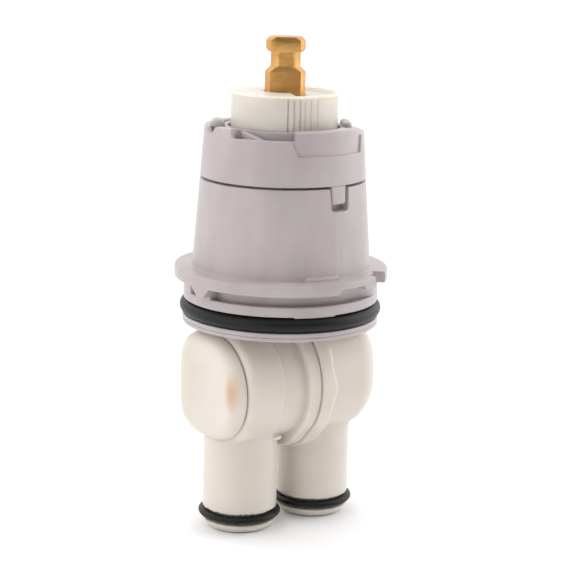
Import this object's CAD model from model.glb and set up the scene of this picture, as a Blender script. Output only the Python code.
import math

import bmesh
import bpy
import numpy as np
from mathutils import Matrix, Vector


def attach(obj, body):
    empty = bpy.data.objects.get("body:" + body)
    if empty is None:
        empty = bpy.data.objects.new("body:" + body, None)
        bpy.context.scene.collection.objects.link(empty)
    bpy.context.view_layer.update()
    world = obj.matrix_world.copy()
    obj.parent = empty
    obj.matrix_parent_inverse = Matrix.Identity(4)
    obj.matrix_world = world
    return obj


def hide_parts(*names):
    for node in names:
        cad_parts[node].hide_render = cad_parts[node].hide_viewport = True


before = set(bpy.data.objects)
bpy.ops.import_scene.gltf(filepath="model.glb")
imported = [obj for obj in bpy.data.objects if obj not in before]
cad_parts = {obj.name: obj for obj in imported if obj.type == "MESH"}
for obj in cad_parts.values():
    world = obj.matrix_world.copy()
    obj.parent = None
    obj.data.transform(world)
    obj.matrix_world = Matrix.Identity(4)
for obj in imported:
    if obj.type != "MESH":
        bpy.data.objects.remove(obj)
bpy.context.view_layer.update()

mm = 0.001
frontTurn = -126.0  # direction of the photograph's front, degrees from +X seen from above


# colours and node helpers

def hexColour(text):
    parts = [int(text[i:i + 2], 16) / 255 for i in (0, 2, 4)]
    linear = [c / 12.92 if c <= 0.04045 else ((c + 0.055) / 1.055) ** 2.4 for c in parts]
    return (*linear, 1.0)


def addNode(tree, kind, settings=None, inputs=None, links=None):
    node = tree.nodes.new(kind)
    for name, value in (settings or {}).items():
        setattr(node, name, value)
    for name, value in (inputs or {}).items():
        node.inputs[name].default_value = value
    for name, socket in (links or {}).items():
        tree.links.new(socket, node.inputs[name])
    return node


def newMaterial(name):
    material = bpy.data.materials.new(name)
    material.use_nodes = True
    tree = material.node_tree
    tree.nodes.clear()
    shader = addNode(tree, "ShaderNodeBsdfPrincipled")
    output = addNode(tree, "ShaderNodeOutputMaterial")
    tree.links.new(shader.outputs["BSDF"], output.inputs["Surface"])
    place = addNode(tree, "ShaderNodeTexCoord")
    return material, tree, shader, place.outputs["Object"]


def speckle(tree, place, size, detail=2.0, rough=0.5, stretch=(1, 1, 1)):
    # noise whose grains are about size mm across, stretched along an axis where asked
    scaled = addNode(tree, "ShaderNodeMapping", inputs={"Scale": [s / (size * mm) for s in stretch]},
                     links={"Vector": place})
    return addNode(tree, "ShaderNodeTexNoise", inputs={"Scale": 1.0, "Detail": detail, "Roughness": rough},
                   links={"Vector": scaled.outputs["Vector"]}).outputs["Fac"]


def ramp(tree, fac, stops):
    node = addNode(tree, "ShaderNodeValToRGB", links={"Fac": fac})
    node.color_ramp.elements[0].position, node.color_ramp.elements[0].color = stops[0]
    node.color_ramp.elements[1].position, node.color_ramp.elements[1].color = stops[-1]
    for position, colour in stops[1:-1]:
        node.color_ramp.elements.new(position).color = colour
    return node.outputs["Color"]


def remap(tree, fac, low, high):
    return addNode(tree, "ShaderNodeMapRange", inputs={"To Min": low, "To Max": high},
                   links={"Value": fac}).outputs["Result"]


def bump(tree, height, strength, depth):
    return addNode(tree, "ShaderNodeBump", inputs={"Strength": strength, "Distance": depth * mm},
                   links={"Height": height}).outputs["Normal"]


# materials

def greyMoulding():
    # acetal copolymer moulded in a light warm grey: satin skin, faint flow marks, light in thin edges
    material, tree, shader, place = newMaterial("greyAcetalMoulded")
    flow = speckle(tree, place, 9.0, 3.0, 0.55, (1, 1, 0.45))
    colour = ramp(tree, flow, [(0.35, hexColour("b0a6a6")), (0.65, hexColour("bab0b0"))])
    tree.links.new(colour, shader.inputs["Base Color"])
    grain = speckle(tree, place, 0.35, 2.0)
    tree.links.new(remap(tree, grain, 0.25, 0.38), shader.inputs["Roughness"])
    tree.links.new(bump(tree, grain, 0.35, 0.012), shader.inputs["Normal"])
    shader.inputs["IOR"].default_value = 1.48
    shader.inputs["Subsurface Weight"].default_value = 0.15
    shader.inputs["Subsurface Radius"].default_value = (0.6, 0.5, 0.45)
    shader.inputs["Subsurface Scale"].default_value = mm
    return material


def ivoryMoulding(name="ivoryAcetalMoulded", gate=None):
    # natural acetal moulded in ivory: milky, soft light passes a little way in, slightly glossy skin
    material, tree, shader, place = newMaterial(name)
    flow = speckle(tree, place, 12.0, 3.0, 0.5)
    colour = ramp(tree, flow, [(0.3, hexColour("d6cec3")), (0.7, hexColour("ded6cd"))])
    if gate:
        # faint warm stain where the melt came in, longer upwards than sideways
        middle, size, tint = gate
        moved = addNode(tree, "ShaderNodeMapping", {"vector_type": "TEXTURE"},
                        {"Location": [c * mm for c in middle], "Scale": [c * mm for c in size]},
                        {"Vector": place})
        ball = addNode(tree, "ShaderNodeTexGradient", {"gradient_type": "SPHERICAL"},
                       links={"Vector": moved.outputs["Vector"]})
        soft = addNode(tree, "ShaderNodeMapRange", {"interpolation_type": "SMOOTHSTEP"}, {"To Max": 0.85},
                       {"Value": ball.outputs["Fac"]})
        blend = addNode(tree, "ShaderNodeMix", {"data_type": "RGBA"}, links={"Factor": soft.outputs["Result"]})
        tree.links.new(colour, blend.inputs[6])
        blend.inputs[7].default_value = hexColour(tint)
        colour = blend.outputs[2]
    tree.links.new(colour, shader.inputs["Base Color"])
    grain = speckle(tree, place, 0.6, 2.0)
    tree.links.new(remap(tree, grain, 0.26, 0.4), shader.inputs["Roughness"])
    tree.links.new(bump(tree, grain, 0.25, 0.015), shader.inputs["Normal"])
    shader.inputs["IOR"].default_value = 1.48
    shader.inputs["Subsurface Weight"].default_value = 0.6
    shader.inputs["Subsurface Radius"].default_value = (2.2, 2.0, 1.7)
    shader.inputs["Subsurface Scale"].default_value = mm
    return material


def whiteNylon():
    # natural nylon 6/6, moulded: whiter than the acetal and more see-through, with a waxy gloss
    material, tree, shader, place = newMaterial("naturalNylonMoulded")
    flow = speckle(tree, place, 7.0, 3.0, 0.5)
    colour = ramp(tree, flow, [(0.3, hexColour("dcd3c8")), (0.7, hexColour("e5dcd2"))])
    tree.links.new(colour, shader.inputs["Base Color"])
    grain = speckle(tree, place, 0.5, 2.0)
    tree.links.new(remap(tree, grain, 0.3, 0.42), shader.inputs["Roughness"])
    tree.links.new(bump(tree, grain, 0.25, 0.012), shader.inputs["Normal"])
    shader.inputs["IOR"].default_value = 1.53
    shader.inputs["Subsurface Weight"].default_value = 0.85
    shader.inputs["Subsurface Radius"].default_value = (3.4, 3.0, 2.4)
    shader.inputs["Subsurface Scale"].default_value = mm
    return material


def blackRubber():
    # nitrile rubber ring, moulded and greased: near black, soft shine from the silicone grease
    material, tree, shader, place = newMaterial("nitrileRubberGreased")
    film = speckle(tree, place, 1.6, 3.0, 0.6)
    tree.links.new(ramp(tree, film, [(0.35, hexColour("070607")), (0.7, hexColour("100f10"))]),
                   shader.inputs["Base Color"])
    tree.links.new(remap(tree, film, 0.3, 0.55), shader.inputs["Roughness"])
    tree.links.new(bump(tree, speckle(tree, place, 0.8, 3.0), 0.3, 0.03), shader.inputs["Normal"])
    shader.inputs["IOR"].default_value = 1.36
    return material


def turnedBrass():
    # leaded brass bar, turned and milled: fine level tool lines that spread the light sideways
    material, tree, shader, place = newMaterial("brassTurnedMilled")
    lines = speckle(tree, place, 0.22, 4.0, 0.7, (0.05, 0.05, 1))
    tone = speckle(tree, place, 2.4, 2.0)
    mixed = addNode(tree, "ShaderNodeMix", {"data_type": "FLOAT"}, {"Factor": 0.35},
                    {"A": lines, "B": tone}).outputs["Result"]
    tree.links.new(ramp(tree, mixed, [(0.3, hexColour("b98446")), (0.7, hexColour("dcae6c"))]),
                   shader.inputs["Base Color"])
    tree.links.new(remap(tree, lines, 0.26, 0.46), shader.inputs["Roughness"])
    tree.links.new(bump(tree, lines, 0.6, 0.012), shader.inputs["Normal"])
    shader.inputs["Metallic"].default_value = 1.0
    return material


def groundCeramic():
    # alumina disc, ground and lapped: dense white with a tight polish
    material, tree, shader, place = newMaterial("aluminaLapped")
    grain = speckle(tree, place, 0.4, 3.0)
    tree.links.new(ramp(tree, grain, [(0.3, hexColour("e9e7e2")), (0.7, hexColour("f4f3f0"))]),
                   shader.inputs["Base Color"])
    tree.links.new(remap(tree, grain, 0.12, 0.24), shader.inputs["Roughness"])
    shader.inputs["IOR"].default_value = 1.77
    return material


def groundStainless():
    # austenitic stainless steel, ground round: cool grey with fine rings of grinding
    material, tree, shader, place = newMaterial("stainlessGround")
    lines = speckle(tree, place, 0.18, 3.0, 0.6, (1, 0.06, 0.06))
    tree.links.new(ramp(tree, lines, [(0.3, hexColour("a9acae")), (0.7, hexColour("c9cbcc"))]),
                   shader.inputs["Base Color"])
    tree.links.new(remap(tree, lines, 0.18, 0.32), shader.inputs["Roughness"])
    tree.links.new(bump(tree, lines, 0.4, 0.006), shader.inputs["Normal"])
    shader.inputs["Metallic"].default_value = 1.0
    return material


finishes = {"grey_moulding": greyMoulding(), "ivory_moulding": ivoryMoulding(), "white_nylon": whiteNylon(),
            "black_rubber": blackRubber(), "turned_brass": turnedBrass(), "ground_ceramic": groundCeramic(),
            "stainless": groundStainless()}
discFinish = ivoryMoulding("ivoryAcetalGateMark", ((-21, -10.2, 36.0), (2.5, 3.4, 6.2), "c9a276"))
print("materials made:", len(finishes))


# mesh helpers

def direction(azimuth):
    return math.radians(azimuth + frontTurn)


def newPiece(name, points, faces, finish, body, nodes=(), sharp=32):
    mesh = bpy.data.meshes.new(name)
    mesh.from_pydata([tuple(p) for p in np.asarray(points) * mm], [], faces)
    piece = bpy.data.objects.new(name, mesh)
    bpy.context.scene.collection.objects.link(piece)
    dressPiece(piece, finish, body, nodes, sharp)
    return piece


def dressPiece(piece, finish, body, nodes=(), sharp=32):
    piece.data.materials.clear()
    piece.data.materials.append(finishes[finish])
    piece.data.shade_smooth()
    if sharp:
        piece.data.set_sharp_from_angle(angle=math.radians(sharp))
    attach(piece, body)
    if nodes:
        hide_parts(*nodes)


def ease(value, low, high):
    # 0 below low, 1 above high, smooth between
    t = np.clip((value - low) / (high - low), 0, 1)
    return t * t * (3 - 2 * t)


def bandMask(azimuth, start, end, soft):
    # 1 between start and end, falling off over soft degrees about each
    half = soft / 2
    return ease(azimuth, start - half, start + half) * (1 - ease(azimuth, end - half, end + half))


def roundCorners(corners, steps=4):
    # corners are (r, z, radius); the same number of points comes out whatever the sizes are
    loop = np.array([c[:2] for c in corners], float)
    count = len(loop)
    made = []
    for i in range(count):
        here, before, after = loop[i], loop[i - 1], loop[(i + 1) % count]
        radius = corners[i][2]
        if radius is None:
            made.append(here)
            continue
        toBefore, toAfter = before - here, after - here
        longBefore, longAfter = np.linalg.norm(toBefore), np.linalg.norm(toAfter)
        if longBefore < 1e-6 or longAfter < 1e-6:
            made += [here] * (steps + 1)
            continue
        toBefore, toAfter = toBefore / longBefore, toAfter / longAfter
        half = math.acos(float(np.clip(toBefore @ toAfter, -1, 1))) / 2
        reach = radius / max(math.tan(half), 1e-3) if half > 1e-3 else 0
        reach = min(reach, 0.47 * longBefore, 0.47 * longAfter)
        for k in range(steps + 1):
            t = k / steps
            made.append(here + toBefore * reach * (1 - t) ** 2 + toAfter * reach * t ** 2)
    return np.array(made)


def spacing(base, dense):
    # azimuths round the turn, close together where the shape changes
    marks = list(np.arange(-180, 180, base))
    for start, end, step in dense:
        marks = [m for m in marks if not start - step < m < end + step]
        marks += list(np.arange(start, end + step / 2, step))
    return sorted(marks)


def ringFaces(turns, count, closed=True):
    # faces between neighbouring loops of count points each, round a full turn
    faces = []
    for i in range(turns):
        j = (i + 1) % turns
        for k in range(count if closed else count - 1):
            m = (k + 1) % count
            faces.append((i * count + k, j * count + k, j * count + m, i * count + m))
    return faces


def sweepRound(name, azimuths, section, finish, body, nodes=(), closed=True, sharp=32):
    # carries a section (r, z) round the upright axis; an open section ends on the axis at both ends
    loops = [np.asarray(section(a)) for a in azimuths]
    points = []
    for azimuth, loop in zip(azimuths, loops):
        turn = direction(azimuth)
        points.append(np.column_stack([loop[:, 0] * math.cos(turn), loop[:, 0] * math.sin(turn), loop[:, 1]]))
    faces = ringFaces(len(azimuths), len(loops[0]), closed)
    piece = newPiece(name, np.concatenate(points), faces, finish, body, nodes, sharp=0)
    tidyMesh(piece, sharp)


def tidyMesh(piece, sharp=32, merge=0.0008):
    work = bmesh.new()
    work.from_mesh(piece.data)
    bmesh.ops.remove_doubles(work, verts=work.verts, dist=merge * mm)
    bmesh.ops.recalc_face_normals(work, faces=work.faces)
    work.to_mesh(piece.data)
    work.free()
    piece.data.shade_smooth()
    if sharp:
        piece.data.set_sharp_from_angle(angle=math.radians(sharp))


def latheLoop(name, corners, finish, body, nodes=(), axis="z", at=(0, 0, 0), steps=5, around=128, closed=True):
    # turned piece about an upright or a level axis
    loop = roundCorners(corners, steps)
    points = []
    for turn in np.linspace(0, 2 * math.pi, around, endpoint=False):
        c, s = math.cos(turn), math.sin(turn)
        for r, along in loop:
            points.append((at[0] + r * c, at[1] + r * s, at[2] + along) if axis == "z"
                          else (at[0] + along, at[1] + r * c, at[2] + r * s))
    piece = newPiece(name, points, ringFaces(around, len(loop), closed), finish, body, nodes, sharp=0)
    tidyMesh(piece)
    return piece


def smoothMin(a, b, blend):
    h = np.maximum(blend - np.abs(a - b), 0) / blend
    return np.minimum(a, b) - h * h * blend / 4


def smoothMax(a, b, blend):
    return -smoothMin(-a, -b, blend)


def gradient(shape, p, step=0.02):
    slope = np.empty_like(p)
    for axis in range(3):
        shift = np.zeros(3)
        shift[axis] = step
        slope[:, axis] = (shape(p + shift) - shape(p - shift)) / (2 * step)
    return slope


def mouldedPiece(name, shape, low, high, finish, body, nodes, voxel):
    # coarse cells where the shape is solid, remeshed fine, then drawn onto the exact surface
    cell, rounds, reach = 0.55, 7, 0.35
    grids = [np.arange(a, b + cell, cell) for a, b in zip(low, high)]
    x, y, z = np.meshgrid(*grids, indexing="ij")
    inside = (shape(np.column_stack([x.ravel(), y.ravel(), z.ravel()])) < 0).reshape(x.shape)
    inside = np.pad(inside, 1)
    points, faces, known = [], [], {}
    corner = [[(0, 0, 0), (0, 0, 1), (0, 1, 1), (0, 1, 0)], [(0, 0, 0), (1, 0, 0), (1, 0, 1), (0, 0, 1)],
              [(0, 0, 0), (0, 1, 0), (1, 1, 0), (1, 0, 0)]]
    for axis in range(3):
        for side in (0, 1):
            near = inside & ~np.roll(inside, 1 if side == 0 else -1, axis)
            for cellAt in np.argwhere(near):
                base = cellAt + (np.eye(3, dtype=int)[axis] if side else 0)
                ring = [tuple(base + c) for c in corner[axis]]
                if side:
                    ring.reverse()
                face = []
                for key in ring:
                    if key not in known:
                        known[key] = len(points)
                        points.append([low[i] + (key[i] - 1.5) * cell for i in range(3)])
                    face.append(known[key])
                faces.append(face)
    mesh = bpy.data.meshes.new(name)
    mesh.from_pydata([tuple(p) for p in np.array(points) * mm], [], faces)
    piece = bpy.data.objects.new(name, mesh)
    bpy.context.scene.collection.objects.link(piece)
    remesh = piece.modifiers.new("fine", "REMESH")
    remesh.mode = "VOXEL"
    remesh.voxel_size = voxel * mm
    evaluated = piece.evaluated_get(bpy.context.evaluated_depsgraph_get())
    fine = bpy.data.meshes.new_from_object(evaluated)
    piece.modifiers.clear()
    piece.data = fine
    bpy.data.meshes.remove(mesh)
    fine.name = name
    place = np.empty(len(fine.vertices) * 3)
    fine.vertices.foreach_get("co", place)
    place = place.reshape(-1, 3) / mm
    for _ in range(rounds):
        value = shape(place)
        slope = gradient(shape, place)
        size = np.maximum((slope ** 2).sum(1), 0.2)
        place = place - np.clip(value / size, -reach, reach)[:, None] * slope
    slope = gradient(shape, place)
    slope /= np.maximum(np.linalg.norm(slope, axis=1), 1e-6)[:, None]
    fine.vertices.foreach_set("co", (place * mm).ravel())
    dressPiece(piece, finish, body, nodes, sharp=0)
    fine.normals_split_custom_set_from_vertices([tuple(n) for n in slope])
    print(name, "faces", len(fine.polygons))
    return piece


# upper cap

upperCap = {
    "seam": 84.0, "seamGap": 0.3, "seamRadius": 19.6, "lean": 0.07, "spigotFoot": 78.5, "spigotRadius": 17.2,
    "spigotBore": 15.2, "wallInner": 16.6, "channelFloor": 92.0, "collarOuter": 14.4, "collarInner": 13.25,
    "collarTop": 96.1, "trackFloor": 88.0, "bossRadius": 10.2, "bossTop": 91.7, "bore": 4.8, "boreFoot": 80.55,
    "underBore": 8.5, "deckUnder": 84.6, "rimRound": 0.55, "rimTop": 94.6,
    # each rise of the rim: height, then where it starts, is full, starts to fall and ends, in degrees
    "rimRises": [(1.5, -134.8, -133.2, -76, -65.5), (2.0, -64.5, -56.6, -41.0, -38.0),
                 (2.0, 8.35, 9.05, 70.65, 71.35), (0.5, 70.5, 71.5, 165.5, 166.5)],
    # bands round the turn: start, end and softness in degrees
    "blockBand": (8.7, 67.0, 0.8), "recessBand": (5.9, 72.6, 0.4), "trackBand": (66, 116, 1.0),
    "holeBands": [(-76, -57, 1.0), (-39.5, -32.5, 1.0)], "holeWide": 1.0, "holeDeep": 5.0, "trackRise": 2.0,
    "recessDeep": 0.5, "recessFoot": 91.1,
    # slanted ends of the recess: where, over how many degrees, how high
    "recessLeft": (10.4, 4.6, 3.0), "recessRight": (68.6, 4.0, 4.2),
}


def capRadius(z):
    return upperCap["seamRadius"] - (z - upperCap["seam"]) * upperCap["lean"]


def capRim(azimuth):
    # height of the outer wall round the cap
    top = upperCap["rimTop"]
    for rise, start, full, fall, end in upperCap["rimRises"]:
        top += rise * ease(azimuth, start, full) * (1 - ease(azimuth, fall, end))
    return top


def capSection(azimuth):
    s = upperCap
    top = capRim(azimuth)
    block = bandMask(azimuth, *s["blockBand"])
    deep = s["recessDeep"] * bandMask(azimuth, *s["recessBand"])
    leftAt, leftWide, leftRise = s["recessLeft"]
    rightAt, rightWide, rightRise = s["recessRight"]
    foot = s["recessFoot"] + leftRise * np.clip((leftAt - azimuth) / leftWide, 0, 1.02)
    foot = min(foot + rightRise * np.clip((azimuth - rightAt) / rightWide, 0, 1.02), top - 0.42)
    hole = sum(bandMask(azimuth, *band) for band in s["holeBands"])
    inner = s["wallInner"] + (s["collarOuter"] + 0.12 - s["wallInner"]) * block + s["holeWide"] * hole
    floor = s["channelFloor"] + (s["collarTop"] - 0.12 - s["channelFloor"]) * block - s["holeDeep"] * hole
    track = s["trackFloor"] + s["trackRise"] * bandMask(azimuth, *s["trackBand"])
    outerTop = capRadius(top) - deep
    corners = [
        (s["spigotBore"], s["spigotFoot"], 0.1), (s["spigotRadius"], s["spigotFoot"], 0.3),
        (s["spigotRadius"], s["seam"] + s["seamGap"], 0.05), (s["seamRadius"], s["seam"] + s["seamGap"], 0.16),
        (capRadius(foot), foot, 0.09), (capRadius(foot) - deep, foot + 0.02 + 0.12 * deep, 0.07),
        (outerTop, top, s["rimRound"]), (inner, top, 0.4 - 0.15 * block), (inner, floor, 0.25 - 0.2 * block),
        (s["collarOuter"] + 0.02, floor, 0.2 - 0.17 * block), (s["collarOuter"], s["collarTop"], 0.18),
        (s["collarInner"], s["collarTop"], 0.25), (s["collarInner"], track, 0.2), (s["bossRadius"], track, 0.2),
        (s["bossRadius"], s["bossTop"], 0.3), (s["bore"], s["bossTop"], 0.2), (s["bore"], s["boreFoot"], 0.2),
        (s["underBore"], s["boreFoot"], 0.2), (s["underBore"], s["deckUnder"], 0.2),
        (s["spigotBore"], s["deckUnder"], 0.2)]
    return roundCorners(corners, 4)


capAzimuths = spacing(2.0, [(-135, -133, 0.25), (-87, -54, 0.5), (-41.2, -31.6, 0.3), (5.4, 11.0, 0.14),
                            (66.4, 73.0, 0.16), (165, 167, 0.3)])
sweepRound("upperCapShell", capAzimuths, capSection, "grey_moulding", "housing", ["upper_cap"])


def slabOnCone(name, outline, outer, deep, finish, body, cells=(22, 16)):
    # rounded block bent round the axis: outline gives the azimuth limits at each height
    across, up = cells
    points, faces = [], []
    us = (1 - np.cos(np.linspace(0, math.pi, across + 1))) / 2
    vs = (1 - np.cos(np.linspace(0, math.pi, up + 1))) / 2
    for v in vs:
        low, high, z = outline(v)
        for u in us:
            azimuth = low + (high - low) * u
            edge = min(u, 1 - u) * (high - low) * math.radians(1) * outer(z)
            rise = min(v, 1 - v) * abs(outline(1)[2] - outline(0)[2])
            drop = 0.28 * (1 - ease(edge, 0, 0.28)) + 0.28 * (1 - ease(rise, 0, 0.28))
            points.append((azimuth, outer(z) - drop, z))
    front = len(points)
    points += [(a, outer(z) - deep, z) for a, r, z in points[:front]]
    wide = across + 1
    for j in range(up):
        for i in range(across):
            a, b, c, d = j * wide + i, j * wide + i + 1, (j + 1) * wide + i + 1, (j + 1) * wide + i
            faces += [(a, b, c, d), (front + d, front + c, front + b, front + a)]
    rim = [i for i in range(wide)] + [j * wide + across for j in range(1, up + 1)]
    rim += [up * wide + i for i in range(across - 1, -1, -1)] + [j * wide for j in range(up - 1, 0, -1)]
    for a, b in zip(rim, rim[1:] + rim[:1]):
        faces.append((b, a, front + a, front + b))
    placed = [(r * math.cos(direction(a)), r * math.sin(direction(a)), z) for a, r, z in points]
    piece = newPiece(name, placed, faces, finish, body, sharp=0)
    tidyMesh(piece)
    return piece


lowerHousing = {
    "lipFoot": 50.27, "lipRadius": 23.4, "lipTop": 51.3, "grooveRadius": 20.5, "grooveTop": 55.1,
    "collarRadius": 23.2, "collarTop": 57.4, "neckRadius": 21.0, "flangeFoot": 60.2, "flangeTop": 62.85,
    "flangeRadius": 25.4, "coneFoot": 21.27, "coneTop": 19.6, "coneEnd": 84.0, "seam": 83.7, "chamber": 17.3,
    "floorTop": 57.4, "floorFoot": 51.47, "plateRadius": 19.62, "trench": 1.3, "trenchIn": 1.0,
    # slot for the tongue: foot, depth, rounding, height, then each side's azimuth and its lean in degrees
    "notchFoot": 78.5, "notchDeep": 2.2, "notchRound": 0.7, "notchTall": 5.3, "notchLeft": (34.6, -0.9),
    "notchRight": (49.2, 1.0),
    # bands round the turn: start, end and softness in degrees
    "dropBand": (8, 33, 0.8), "drop": 0.25, "gateBand": (-64, -53.6, 2.2), "stepBand": (61, 75, 0.9),
    "stepRadius": 22.65, "ledgeBand": (15.5, 38.5, 1.5), "pocketEnds": (-44.2, -43.0, 55, 72),
    # azimuths and heights of the tooth and of the relief under the flange
    "tooth": ([-54.3, -49.0, -44.2, -40.6], [0, 2.35, 2.1, 0]),
    "relief": ([31.9, 34.3, 50.0, 51.0], [0, 1, 1, 0.3]), "reliefDeep": 1.2, "reliefEnd": (58, 62),
}


def coneRadius(z):
    s = lowerHousing
    narrowing = (s["coneFoot"] - s["coneTop"]) / (s["coneEnd"] - s["flangeTop"])
    return s["coneFoot"] - (z - s["flangeTop"]) * narrowing


capFitting = {
    # blocks: start and end in degrees, inner and outer radius, foot, top and rounding
    "blocks": [(-98, -76, 14.0, 17.6, 91.6, 97.5, 1.7), (80, 110, 13.9, 15.9, 91.6, 97.4, 0.9)],
    # curved rib: its radius and its crest at azimuths along it
    "ribPath": ([-40, -35, -30, -24, -18, -12], [14.6, 15.4, 15.7, 16.0, 16.5, 17.2]),
    "ribCrest": ([-40, -34, -29, -23, -17, -13], [96.0, 95.9, 95.6, 95.2, 94.7, 94.3]),
    "ribHalf": 0.85, "ribMiddle": -26, "ribReach": 13.0, "ribRadius": 15.8, "foot": 91.6,
}


def capFittings(p):
    # the raised blocks behind the rim and the curved rib across the channel, as distances in mm
    away, azimuth = np.hypot(p[:, 0], p[:, 1]), np.degrees(np.arctan2(p[:, 1], p[:, 0])) - frontTurn
    azimuth = (azimuth + 180) % 360 - 180
    shapes = []
    for start, end, inner, outer, low, high, soft in capFitting["blocks"]:
        sideways = np.radians(np.abs(azimuth - (start + end) / 2)) * away
        sideways -= math.radians((end - start) / 2) * outer
        q = np.stack([sideways, np.abs(away - (inner + outer) / 2) - (outer - inner) / 2,
                      np.abs(p[:, 2] - (low + high) / 2) - (high - low) / 2], 1) + soft
        shapes.append(np.linalg.norm(np.maximum(q, 0), axis=1) + np.minimum(q.max(1), 0) - soft)
    s = capFitting
    middle, crest = np.interp(azimuth, *s["ribPath"]), np.interp(azimuth, *s["ribCrest"])
    rib = smoothMax(np.abs(away - middle) - s["ribHalf"], p[:, 2] - crest, 0.5)
    rib = smoothMax(rib, s["foot"] - p[:, 2], 0.1)
    reach = np.radians(np.abs(azimuth - s["ribMiddle"]) - s["ribReach"]) * s["ribRadius"]
    shapes.append(smoothMax(rib, reach, 0.3))
    return np.minimum.reduce(shapes)


tongue = {"left": (35.2, -0.3), "right": (46.9, 0.9), "foot": 80.1, "tall": 4.3, "roundShare": 0.12,
          "roundWide": 1.3, "sunk": 0.02, "thick": 1.9}


def tongueSides(v):
    # the lower corners of the tongue are rounded off
    s = tongue
    near = max(0.0, 1 - v / s["roundShare"])
    inset = s["roundWide"] * (1 - math.sqrt(1 - near * near))
    (left, leftLean), (right, rightLean) = s["left"], s["right"]
    return left + leftLean * v + inset, right + rightLean * v - inset, s["foot"] + s["tall"] * v


mouldedPiece("capBlocks", capFittings, (-20, -20, 91), (20, 20, 98.2), "grey_moulding", "housing", (), 0.2)
slabOnCone("capTongue", tongueSides, lambda z: coneRadius(z) - tongue["sunk"], tongue["thick"],
           "grey_moulding", "housing", (26, 30))
print("upper cap made")

# lower housing

notchRows = np.concatenate([np.linspace(78.2, 79.7, 16), np.linspace(80.2, 83.4, 7)])


def notchDepth(azimuth, z):
    # how far the slot for the tongue goes in, from a rounded outline measured in mm on the cone
    s = lowerHousing
    share = (z - s["notchFoot"]) / s["notchTall"]
    (left, leftLean), (right, rightLean) = s["notchLeft"], s["notchRight"]
    wide = math.radians(1) * coneRadius(z)
    side = max(left + leftLean * share - azimuth, azimuth - right - rightLean * share) * wide
    side += s["notchRound"]
    under = s["notchFoot"] + s["notchRound"] - z
    away = math.hypot(max(side, 0), max(under, 0)) + min(max(side, under), 0) - s["notchRound"]
    return s["notchDeep"] * (1 - ease(away, -0.09, 0.07))


def housingSection(azimuth):
    s = lowerHousing
    drop = s["drop"] * bandMask(azimuth, *s["dropBand"])
    start, full, fall, end = s["pocketEnds"]
    pocket = ease(azimuth, start, full) * (1 - ease(azimuth, fall, end)) + bandMask(azimuth, *s["gateBand"])
    neck = s["collarRadius"] - (s["collarRadius"] - s["neckRadius"]) * pocket
    relief = s["reliefDeep"] * np.interp(azimuth, *s["relief"]) * (1 - ease(azimuth, *s["reliefEnd"]))
    under = s["flangeFoot"] - np.interp(azimuth, *s["tooth"]) + relief
    flange = s["flangeRadius"] - (s["flangeRadius"] - s["stepRadius"]) * bandMask(azimuth, *s["stepBand"])
    ledge = bandMask(azimuth, *s["ledgeBand"])
    collar, shelf, trench = s["collarRadius"], s["collarTop"], s["trench"] * pocket
    behind = collar - s["trenchIn"] * pocket
    corners = [
        (s["plateRadius"], s["floorFoot"], 0.05), (s["plateRadius"], s["lipFoot"], 0.05),
        (s["lipRadius"], s["lipFoot"], 0.16), (s["lipRadius"], s["lipTop"], 0.28),
        (s["grooveRadius"], s["lipTop"], 0.1), (s["grooveRadius"], s["grooveTop"], 0.1),
        (22.0, s["grooveTop"], 0.03), (22.1, s["grooveTop"] - drop - 0.01, 0.03),
        (collar, s["grooveTop"] - drop, 0.2), (collar - 0.005, shelf, 0.3 * pocket + 0.02),
        (behind - 0.01, shelf + 0.01, 0.2 * pocket + 0.01), (behind - 0.012, shelf + 0.02 - trench, 0.03),
        (neck - 0.013, shelf + 0.03 - trench, 0.03), (neck, under, 0.12), (flange, under, 0.3),
        (flange, s["flangeTop"], 0.42),
        (s["coneFoot"] + 0.1 + 0.9 * ledge, s["flangeTop"], 0.9 - 0.6 * ledge),
        (s["coneFoot"] + 0.05 + 0.75 * ledge, s["flangeTop"] + 0.1 + 0.7 * ledge, 0.25 * ledge + 0.02),
        (s["coneFoot"] - 0.05, s["flangeTop"] + 0.35 + 0.6 * ledge, 0.2)]
    lower = roundCorners(corners + [(s["coneTop"], s["seam"], None), (s["chamber"], s["seam"], None)], 4)[:-2]
    wall = [(coneRadius(z) - notchDepth(azimuth, z), z) for z in notchRows]
    top = coneRadius(s["seam"]) - notchDepth(azimuth, 83.9)
    upper = [(top, s["seam"] - 0.2), (top - 0.05, s["seam"] - 0.07), (top - 0.18, s["seam"]),
             (s["chamber"] + 0.1, s["seam"]), (s["chamber"], s["seam"] - 0.1), (s["chamber"], s["floorTop"]),
             (0, s["floorTop"]), (0, s["floorFoot"])]
    return np.concatenate([[(0, s["floorFoot"])], lower, wall, upper[:-1]])


housingAzimuths = spacing(2.0, [(-65.2, -62.6, 0.25), (-55.2, -40.0, 0.3), (7.4, 8.6, 0.2), (14.6, 16.4, 0.2),
                                (31.6, 36.0, 0.14), (37.6, 39.4, 0.2), (47.4, 51.4, 0.14), (57.6, 62.2, 0.16),
                                (74.3, 75.7, 0.15)])
sweepRound("lowerHousingShell", housingAzimuths, housingSection, "grey_moulding", "housing",
           ["lower_housing"], closed=False)
print("lower housing made")

# base plate and the black rings

basePlate = {"foot": 49.35, "edgeTop": 50.24, "radius": 23.4, "plugRadius": 19.3, "plugTop": 51.42}
latheLoop("basePlateDisc", [
    (0.02, basePlate["foot"], None), (basePlate["radius"], basePlate["foot"], 0.22),
    (basePlate["radius"], basePlate["edgeTop"], 0.2), (basePlate["plugRadius"], basePlate["edgeTop"], 0.1),
    (basePlate["plugRadius"], basePlate["plugTop"], 0.1), (0.02, basePlate["plugTop"], None)],
    "grey_moulding", "housing", ["base_plate"], around=256)

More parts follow.
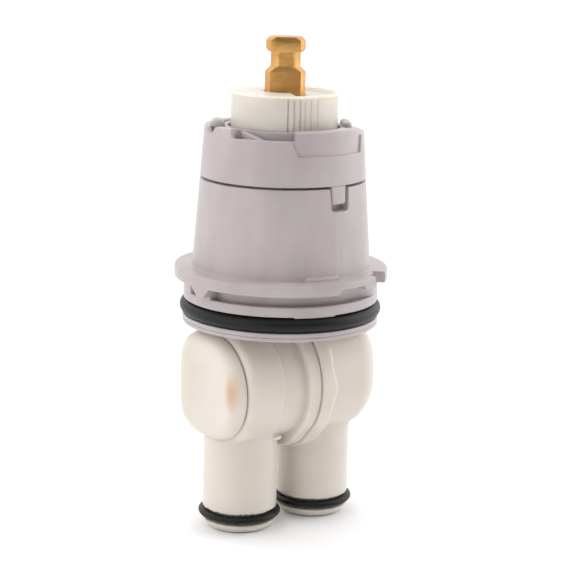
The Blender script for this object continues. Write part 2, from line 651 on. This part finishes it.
ringSizes = {"bodyRadius": 22.285, "bodyThick": 3.53, "bodyHeight": 53.065, "tubeRadius": 8.7, "tubeThick": 2.4,
             "tubeHeight": 3.4, "tubeSquash": 0.74, "tubeAt": 10.825}


def rubberRing(name, radius, thick, at, node, squash=1.0):
    turns, around = 192, 28
    points = []
    for i in range(turns):
        a = 2 * math.pi * i / turns
        for k in range(around):
            b = 2 * math.pi * k / around
            r = radius + thick / 2 * math.cos(b)
            points.append((at[0] + r * math.cos(a), at[1] + r * math.sin(a),
                           at[2] + thick / 2 * squash * math.sin(b)))
    newPiece(name, points, ringFaces(turns, around), "black_rubber", "housing", [node], sharp=0)


rubberRing("bodyRing", ringSizes["bodyRadius"], ringSizes["bodyThick"], (0, 0, ringSizes["bodyHeight"]),
           "body_oring")
for name, node, side in (("tubeRingLeft", "left_tube_oring", -1), ("tubeRingRight", "right_tube_oring", 1)):
    rubberRing(name, ringSizes["tubeRadius"], ringSizes["tubeThick"],
               (side * ringSizes["tubeAt"], 0, ringSizes["tubeHeight"]), node, ringSizes["tubeSquash"])
print("plate and rings made")

# ivory balancing housing: distance functions in mm, blended like moulded fillets


def fullness(a, b, square):
    return (np.abs(a) ** square + np.abs(b) ** square) ** (1 / square)


def cylinder(p, axis, centre, low, high, radius, soft, square=2.0):
    # square is 2 for a round section and more for a fuller one
    along = p[:, axis]
    others = [i for i in range(3) if i != axis]
    away = fullness(p[:, others[0]] - centre[0], p[:, others[1]] - centre[1], square)
    side = away - radius + soft
    end = np.maximum(low - along, along - high) + soft
    return np.minimum(np.maximum(side, end), 0) + np.hypot(np.maximum(side, 0), np.maximum(end, 0)) - soft


def block(p, low, high, soft):
    q = np.abs(p - (np.array(low) + high) / 2) - (np.array(high) - low) / 2 + soft
    return np.linalg.norm(np.maximum(q, 0), axis=1) + np.minimum(q.max(1), 0) - soft


ivory = {
    "height": 34.9, "tubeAt": 10.825, "tubeRadius": 8.93, "tubeBore": 6.4, "tubeTip": 7.6, "grooveRadius": 7.35,
    "barrel": (-17.5, 1.9, 14.1), "step": 0.42, "leftRing": (-1.7, 1.9, 15.3), "rightRing": (1.9, 5.5, 15.9),
    "dome": (-12, 21.6, 14.2), "domeRound": 6.5, "top": 49.33, "joint": 1.9, "jointGap": 0.03, "voxel": 0.3,
    "stepAt": (-8.2, -7.7), "barrelRound": 1.9, "fuller": 1.4, "domeFuller": 1.2, "tipSlope": 0.88,
    "grooveFoot": 2.0, "grooveTop": 4.8, "boreTop": 20.6, "latchAt": (-6.0, -7.4, 22.6),
    "latchSize": (1.8, 1.3, 0.8),
    "leftFoot": 1.2, "rightFoot": 1.3, "point": 0.85, "pointWide": 9,
}


def tubeShape(p, side):
    s = ivory
    at = (side * s["tubeAt"], 0)
    tube = cylinder(p, 2, at, 0, s["height"], s["tubeRadius"], 0.25)
    away = np.hypot(p[:, 0] - at[0], p[:, 1])
    tube = smoothMax(tube, (away - s["tubeTip"] - s["tipSlope"] * p[:, 2]) * 0.75, 0.4)
    groove = cylinder(p, 2, at, s["grooveFoot"], s["grooveTop"], s["tubeRadius"] + 3, 0.1)
    core = away - s["grooveRadius"]
    tube = np.maximum(tube, -np.maximum(groove, -core))
    bore = cylinder(p, 2, at, -3, s["boreTop"], s["tubeBore"], 0.3)
    return tube, bore


def ringBulge(p, gain):
    # the joint rings grow downwards into a foot
    down = (ivory["height"] - p[:, 2]) / np.maximum(np.hypot(p[:, 1], p[:, 2] - ivory["height"]), 1e-6)
    return gain * ease(down, 0.72, 0.98)


def leftShape(p):
    s = ivory
    centre = (0, s["height"])
    low, high, radius = s["barrel"]
    square = 2 + s["fuller"] * ease(p[:, 1], -1, 5)
    away = fullness(p[:, 1], p[:, 2] - s["height"], square)
    barrel = cylinder(p, 0, centre, low, high, radius, s["barrelRound"], square)
    barrel = smoothMax(barrel, away - radius + s["step"] * ease(p[:, 0], *s["stepAt"]), 0.12)
    tube, bore = tubeShape(p, -1)
    low, high, radius = s["leftRing"]
    ring = cylinder(p, 0, centre, low, high + 0.6, radius, 0.6) - ringBulge(p, s["leftFoot"])
    ring = smoothMax(ring, low - p[:, 0], 0.6)
    neck = block(p, (-12.5, -7, 42), (1.9, 7, 52), 0.5)
    shape = smoothMin(smoothMin(barrel, tube, 0.5), neck, 0.8)
    shape = smoothMin(shape, ring, 0.5)
    q = (p - np.array(s["latchAt"])) / np.array(s["latchSize"])
    shape = smoothMin(shape, (np.linalg.norm(q, axis=1) - 1) * 0.9, 0.35)
    shape = smoothMax(shape, p[:, 2] - s["top"], 0.2)
    shape = smoothMax(shape, p[:, 0] - s["joint"] + s["jointGap"], 0.45)
    return smoothMax(shape, -bore, 0.3)


def rightShape(p):
    s = ivory
    centre = (0, s["height"])
    low, high, radius = s["dome"]
    square = 2 + s["domeFuller"] * ease(p[:, 2] - s["height"], -1, 6)
    dome = cylinder(p, 0, centre, low, high, radius, s["domeRound"], square)
    tube, bore = tubeShape(p, 1)
    low, high, radius = s["rightRing"]
    angle = np.degrees(np.arctan2(p[:, 2] - s["height"], -p[:, 1]))
    edge = high + s["point"] * np.exp(-(angle / s["pointWide"]) ** 2)
    edge += 0.5 * ease(-angle, 25, 40) * ease(angle, -120, -90)
    ring = cylinder(p, 0, centre, low - 0.6, high + 2.5, radius, 0.5) - ringBulge(p, s["rightFoot"])
    ring = smoothMax(ring, p[:, 0] - edge, 0.7)
    neck = block(p, (1.9, -7, 42), (15, 7, 52), 0.5)
    shape = smoothMin(smoothMin(dome, tube, 0.6), neck, 0.8)
    shape = smoothMin(shape, ring, 0.45)
    shape = smoothMax(shape, p[:, 2] - s["top"], 0.2)
    shape = smoothMax(shape, s["joint"] + s["jointGap"] - p[:, 0], 0.45)
    return smoothMax(shape, -bore, 0.3)


mouldedPiece("balanceHousingLeft", leftShape, (-21, -17, -1), (3, 17, 51), "ivory_moulding", "housing",
             ["spool_body_left"], ivory["voxel"])
mouldedPiece("balanceHousingRight", rightShape, (0, -18, -1), (23, 17, 51), "ivory_moulding", "housing",
             ["spool_body_right"], ivory["voxel"])

endDisc = {
    "height": 34.9, "rimCentre": (9.6, -17.95), "rimRound": 3.05, "domeAt": -20.6, "faceAt": -20.68,
    "faceRadius": 5.0,
    "grooveRadius": 12.3, "grooveAt": -17.7, "backRadius": 11.7, "backAt": -17.52, "plugRadius": 8.5,
    "plugAt": -17.5, "plugEnd": -16.15, "fuller": 1.6, "wider": 0.07,
}


def makeEndDisc():
    s = endDisc
    alongR, alongX = s["rimCentre"]
    rim = [(alongR + s["rimRound"] * math.cos(a), alongX - s["rimRound"] * math.sin(a), None)
           for a in np.linspace(math.pi / 2, 0, 12)]
    face = [(0.02, s["domeAt"], None), (s["faceRadius"], s["faceAt"], 3.0)]
    back = [(s["grooveRadius"], s["grooveAt"], 0.15), (s["backRadius"], s["backAt"], 0.1),
            (s["plugRadius"], s["plugAt"], 0.05), (s["plugRadius"], s["plugEnd"], 0.2), (0.02, s["plugEnd"], None)]
    disc = latheLoop("leftEndDisc", face + rim + back, "ivory_moulding", "housing", ["left_end_cap"], axis="x",
                     at=(0, 0, s["height"]), steps=8, around=160)
    level = s["height"] * mm
    for corner in disc.data.vertices:
        # the far side of the disc is fuller, as its outline shows
        y, z = corner.co.y, corner.co.z - level
        away = math.hypot(y, z)
        if y > 0 and away > 0:
            full = fullness(y, z, 2 + s["fuller"] * float(ease(y, -1 * mm, 5 * mm)))
            corner.co.y = y * away / full * (1 + s["wider"] * float(ease(y, 0, 8 * mm)))
            corner.co.z = level + z * away / full
    disc.data.materials[0] = discFinish


makeEndDisc()
print("balancing housing made")

# limit stop

limitStop = {
    "top": 104.2, "lipRadius": 13.27, "lipTall": 0.55, "radius": 12.6, "wall": 1.4, "plate": 1.8, "foot": 90.3,
    "low": 0.95, "lowRadius": 11.4, "sleeveRadius": 9.0, "sleeveBore": 7.5, "sleeveFoot": 94.5, "hole": 5.05,
    "lugFoot": 88.3, "grips": [(4, 1.0), (10.7, 0.75), (17.2, 0.8), (22.3, 0.5), (28.8, 0.45), (37, 0.35)],
    "gripDeep": 0.6, "gripWide": 0.9,
}


def limitSection(azimuth):
    s = limitStop
    low = s["low"] * bandMask(azimuth, 13.0, 163.0, 1.6)
    lug = (s["foot"] - s["lugFoot"]) * bandMask(azimuth, 121, 153, 1.0)
    groove = sum(d * math.exp(-((azimuth - a) / s["gripWide"]) ** 2 * 1.6) for a, d in s["grips"])
    groove *= s["gripDeep"]
    skirt = s["radius"] - groove
    under = s["top"] - s["plate"]
    corners = [
        (s["hole"], under, 0.15), (s["sleeveBore"], under, 0.2), (s["sleeveBore"], s["sleeveFoot"], 0.15),
        (s["sleeveRadius"], s["sleeveFoot"], 0.2), (s["sleeveRadius"], under, 0.4),
        (s["radius"] - s["wall"], under, 0.4), (s["radius"] - s["wall"], s["foot"] - lug, 0.2),
        (skirt, s["foot"] - lug, 0.25), (skirt, s["top"] - s["lipTall"] - 0.35, 0.1),
        (s["radius"], s["top"] - s["lipTall"], 0.2), (s["lipRadius"], s["top"] - s["lipTall"], 0.18),
        (s["lipRadius"], s["top"], 0.3), (s["lowRadius"] + 0.25, s["top"], 0.25),
        (s["lowRadius"], s["top"] - low - 0.01, 0.2), (s["hole"], s["top"] - low, 0.25)]
    return roundCorners(corners, 4)


limitAzimuths = spacing(2.0, [(1, 40, 0.22), (161.8, 164.2, 0.3), (120, 122, 0.3), (152, 154, 0.3)])
sweepRound("limitStopCup", limitAzimuths, limitSection, "white_nylon", "limit_ring", ["limit_stop"])


def toothRing(name, sizes, finish, body):
    # internal teeth round a bore: one rounded tooth placed on every point of a circle
    tree = bpy.data.node_groups.new(name, "GeometryNodeTree")
    tree.interface.new_socket("Geometry", in_out="OUTPUT", socket_type="NodeSocketGeometry")
    kinds = {"Count": "NodeSocketInt", "Circle": "NodeSocketFloat", "Half width": "NodeSocketFloat",
             "Tall": "NodeSocketFloat", "Foot": "NodeSocketFloat", "First": "NodeSocketFloat",
             "Deep": "NodeSocketFloat", "Material": "NodeSocketMaterial"}
    sockets = {label: tree.interface.new_socket(label, in_out="INPUT", socket_type=kind)
               for label, kind in kinds.items()}
    given = addNode(tree, "NodeGroupInput").outputs
    circle = addNode(tree, "GeometryNodeMeshCircle",
                     links={"Vertices": given["Count"], "Radius": given["Circle"]})
    tooth = addNode(tree, "GeometryNodeMeshCylinder", inputs={"Vertices": 12},
                    links={"Radius": given["Half width"], "Depth": given["Tall"]})
    outward = addNode(tree, "FunctionNodeAlignRotationToVector", {"axis": "X", "pivot_axis": "Z"},
                      links={"Vector": addNode(tree, "GeometryNodeInputPosition").outputs["Position"]})
    stretch = addNode(tree, "ShaderNodeCombineXYZ", inputs={"Y": 1.0, "Z": 1.0}, links={"X": given["Deep"]})
    placed = addNode(tree, "GeometryNodeInstanceOnPoints", links={
        "Points": circle.outputs["Mesh"], "Instance": tooth.outputs["Mesh"],
        "Rotation": outward.outputs["Rotation"], "Scale": stretch.outputs["Vector"]})
    solid = addNode(tree, "GeometryNodeRealizeInstances", links={"Geometry": placed.outputs["Instances"]})
    half = addNode(tree, "ShaderNodeMath", {"operation": "MULTIPLY_ADD"}, {1: 0.5},
                   {0: given["Tall"], 2: given["Foot"]})
    lift = addNode(tree, "ShaderNodeCombineXYZ", links={"Z": half.outputs["Value"]})
    turned = addNode(tree, "ShaderNodeCombineXYZ", links={"Z": given["First"]})
    moved = addNode(tree, "GeometryNodeTransform", links={
        "Geometry": solid.outputs["Geometry"], "Translation": lift.outputs["Vector"],
        "Rotation": turned.outputs["Vector"]})
    coloured = addNode(tree, "GeometryNodeSetMaterial", links={"Geometry": moved.outputs["Geometry"],
                                                               "Material": given["Material"]})
    output = addNode(tree, "NodeGroupOutput")
    tree.links.new(coloured.outputs["Geometry"], output.inputs["Geometry"])
    holder = bpy.data.objects.new(name, bpy.data.meshes.new(name))
    bpy.context.scene.collection.objects.link(holder)
    teeth = holder.modifiers.new("teeth", "NODES")
    teeth.node_group = tree
    for label, value in {**sizes, "Material": finishes[finish]}.items():
        teeth[sockets[label].identifier] = value
    made = bpy.data.meshes.new_from_object(holder.evaluated_get(bpy.context.evaluated_depsgraph_get()))
    holder.modifiers.clear()
    holder.data = made
    dressPiece(holder, finish, body)
    return holder


splines = {"Count": 24, "Circle": 7.4 * mm, "Half width": 0.38 * mm, "Deep": 1.6, "Tall": 7.9 * mm,
           "Foot": 94.5 * mm, "First": math.radians(7.5)}
toothRing("limitStopSplines", splines, "white_nylon", "limit_ring")
print("limit stop made")

# stem

stemSizes = {
    "flatHalf": 3.1, "edge": 0.1, "foot": 71.3, "radius": 4.75, "flangeFoot": 77.4, "flangeTop": 79.6,
    "flangeRadius": 8.0, "sealGrooves": (82.75, 86.75), "sealWide": 1.7, "sealRadius": 3.29, "shoulder": 108.75,
    "neckRadius": 3.48, "neckFoot": 110.05, "neckTop": 113.4, "headUnder": 4.1, "headFoot": 113.95,
    "headRadius": 4.62, "headTop": 115.95, "tipRadius": 3.8, "top": 116.8, "cutFrom": 92.0,
}


def stemMesh():
    s = stemSizes
    corners = [
        (0.01, s["foot"], None), (s["radius"], s["foot"], 0.2), (s["radius"], s["flangeFoot"], 0.2),
        (s["flangeRadius"], s["flangeFoot"], 0.2), (s["flangeRadius"], s["flangeTop"], 0.2),
        (s["radius"], s["flangeTop"], 0.1)]
    for foot in s["sealGrooves"]:
        corners += [(s["radius"], foot, 0.1), (s["sealRadius"], foot, 0.05),
                    (s["sealRadius"], foot + s["sealWide"], 0.05), (s["radius"], foot + s["sealWide"], 0.1)]
    corners += [
        (s["radius"], s["shoulder"], 0.12), (s["neckRadius"], s["neckFoot"], 0.25),
        (s["neckRadius"], s["neckTop"], 0.15), (s["headUnder"], s["neckTop"], 0.05),
        (s["headRadius"], s["headFoot"], 0.08), (s["headRadius"], s["headTop"], 0.08),
        (s["tipRadius"], s["top"], 0.1), (0.01, s["top"], None)]
    piece = latheLoop("stemShaft", corners, "turned_brass", "stem_assembly", ["stem"], steps=3, around=160,
                      closed=False)
    work = bmesh.new()
    work.from_mesh(piece.data)
    turn = direction(0)
    facing = Vector((math.cos(turn), math.sin(turn), 0))
    level = bmesh.ops.bisect_plane(work, geom=work.verts[:] + work.edges[:] + work.faces[:],
                                   plane_co=(0, 0, s["cutFrom"] * mm), plane_no=(0, 0, 1))
    bmesh.ops.split_edges(work, edges=[e for e in level["geom_cut"] if isinstance(e, bmesh.types.BMEdge)])
    for sign in (1, -1):
        upper = [f for f in work.faces if f.calc_center_median().z > s["cutFrom"] * mm]
        geometry = list({v for f in upper for v in f.verts}) + list({e for f in upper for e in f.edges}) + upper
        cut = bmesh.ops.bisect_plane(work, geom=geometry, plane_co=facing * sign * s["flatHalf"] * mm,
                                     plane_no=facing * sign, clear_outer=True)
        rim = [e for e in cut["geom_cut"] if isinstance(e, bmesh.types.BMEdge)]
        bmesh.ops.contextual_create(work, geom=rim)
    work.to_mesh(piece.data)
    work.free()
    piece.data.shade_flat()
    bevel = piece.modifiers.new("edge", "BEVEL")
    bevel.width = s["edge"] * mm
    bevel.segments = 2
    bevel.limit_method = "ANGLE"
    bevel.angle_limit = math.radians(25)
    bevel.harden_normals = False
    made = bpy.data.meshes.new_from_object(piece.evaluated_get(bpy.context.evaluated_depsgraph_get()))
    piece.modifiers.clear()
    piece.data = made
    tidyMesh(piece, 28, 0.0004)


stemMesh()
print("stem made")

# pieces that keep their CAD mesh

plainFinish = {
    "spline_hub": "white_nylon", "stem_orings": "black_rubber", "thrust_washer": "white_nylon",
    "disc_carrier": "white_nylon", "moving_disc": "ground_ceramic", "fixed_disc": "ground_ceramic",
    "left_port_seal": "black_rubber", "right_port_seal": "black_rubber", "outlet_seal": "black_rubber",
    "riser_orings": "black_rubber", "joint_seal": "black_rubber", "spool_sleeve": "stainless",
    "sleeve_orings": "black_rubber", "balance_spool": "stainless",
}
for node, finish in plainFinish.items():
    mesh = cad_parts[node].data
    mesh.materials.clear()
    mesh.materials.append(finishes[finish])
print("inner pieces dressed:", len(plainFinish))

# floor, light and camera

studio = {"tent": "ffffff", "base": 0.12, "above": 0.85, "right": 1.5, "left": 1.35, "behind": 1.0, "darkest": 22,
          "sideLight": (0.35, 0.8), "sideAt": (-40, 98), "sideAway": 0.55, "sideHeight": 0.25,
          "sideSize": (0.4, 0.7), "topLight": 0.45, "topAt": (-0.05, -0.05, 0.6), "topSize": (0.5, 0.5),
          "aim": (0, 0, 0.06)}
cameraView = {"at": (-0.24263, -0.33395, 0.14811), "yaw": math.radians(36) + 0.0044, "pitch": 0.2173,
              "roll": 0.0240, "sensor": 36, "lens": 110.34, "near": 0.01, "far": 20}
floorSizes = {"half": 3.0, "under": 0.0002}


def makeFloor():
    mesh = bpy.data.meshes.new("floor")
    wide, level = floorSizes["half"], -floorSizes["under"]
    mesh.from_pydata([(x * wide, y * wide, level) for x, y in ((-1, -1), (1, -1), (1, 1), (-1, 1))],
                     [], [(0, 1, 2, 3)])
    floor = bpy.data.objects.new("floor", mesh)
    bpy.context.scene.collection.objects.link(floor)
    material, tree, shader, place = newMaterial("paperPale")
    tone = speckle(tree, place, 40.0)
    tree.links.new(ramp(tree, tone, [(0.3, hexColour("fafafa")), (0.7, hexColour("fdfdfd"))]),
                   shader.inputs["Base Color"])
    shader.inputs["Roughness"].default_value = 0.9
    mesh.materials.append(material)


def makeLight(name, place, target, size, power, colour="ffffff"):
    light = bpy.data.lights.new(name, "AREA")
    light.shape = "RECTANGLE"
    light.size, light.size_y = size
    light.energy = power
    light.color = hexColour(colour)[:3]
    lamp = bpy.data.objects.new(name, light)
    lamp.location = place
    lamp.rotation_euler = (Vector(target) - Vector(place)).to_track_quat("-Z", "Y").to_euler()
    bpy.context.scene.collection.objects.link(lamp)


def makeWorld():
    # white tent: brightest overhead and at both sides, dim where the photographer stands
    world = bpy.data.worlds.new("studio")
    world.use_nodes = True
    tree = world.node_tree
    shine = tree.nodes["Background"]
    shine.inputs["Color"].default_value = hexColour(studio["tent"])
    facing = addNode(tree, "ShaderNodeTexCoord").outputs["Generated"]
    turn = direction(studio["darkest"])
    axes = {"up": (0, 0, 1), "front": (math.cos(turn), math.sin(turn), 0),
            "right": (-math.sin(turn), math.cos(turn), 0)}
    parts = [studio["base"]]
    for axis, sign, low, high, gain in (("up", 1, 0.25, 0.85, studio["above"]),
                                        ("right", 1, 0.6, 0.98, studio["right"]),
                                        ("right", -1, 0.6, 0.98, studio["left"]),
                                        ("front", -1, 0.1, 0.7, studio["behind"])):
        along = addNode(tree, "ShaderNodeVectorMath", {"operation": "DOT_PRODUCT"})
        tree.links.new(facing, along.inputs[0])
        along.inputs[1].default_value = [sign * c for c in axes[axis]]
        glow = addNode(tree, "ShaderNodeMapRange", {"interpolation_type": "SMOOTHSTEP"},
                       {"From Min": low, "From Max": high, "To Min": 0.0, "To Max": gain},
                       {"Value": along.outputs["Value"]})
        parts.append(glow.outputs["Result"])
    total = None
    for part in parts:
        if total is None:
            total = part
            continue
        add = addNode(tree, "ShaderNodeMath", {"operation": "ADD"})
        if isinstance(total, float):
            add.inputs[0].default_value = total
        else:
            tree.links.new(total, add.inputs[0])
        tree.links.new(part, add.inputs[1])
        total = add.outputs["Value"]
    tree.links.new(total, shine.inputs["Strength"])
    bpy.context.scene.world = world
    bpy.context.scene.view_settings.view_transform = "Standard"


def makeCamera():
    camera = bpy.data.cameras.new("camera")
    camera.sensor_width, camera.lens = cameraView["sensor"], cameraView["lens"]
    camera.clip_start, camera.clip_end = cameraView["near"], cameraView["far"]
    eye = bpy.data.objects.new("camera", camera)
    bpy.context.scene.collection.objects.link(eye)
    yaw, pitch, roll = cameraView["yaw"], cameraView["pitch"], cameraView["roll"]
    ahead = Vector((math.cos(pitch) * math.sin(yaw), math.cos(pitch) * math.cos(yaw), -math.sin(pitch)))
    right = Vector((math.cos(yaw), -math.sin(yaw), 0))
    up = right.cross(ahead)
    right, up = right * math.cos(roll) + up * math.sin(roll), up * math.cos(roll) - right * math.sin(roll)
    turn = Matrix((right, up, -ahead)).transposed().to_4x4()
    turn.translation = Vector(cameraView["at"])
    eye.matrix_world = turn
    bpy.context.scene.camera = eye


makeFloor()
makeWorld()
for name, azimuth, power in zip(("leftSoftBox", "rightSoftBox"), studio["sideAt"], studio["sideLight"]):
    turn = direction(azimuth)
    place = (studio["sideAway"] * math.cos(turn), studio["sideAway"] * math.sin(turn), studio["sideHeight"])
    makeLight(name, place, studio["aim"], studio["sideSize"], power)
makeLight("topSoftBox", studio["topAt"], studio["aim"], studio["topSize"], studio["topLight"])
makeCamera()

print("size kept")
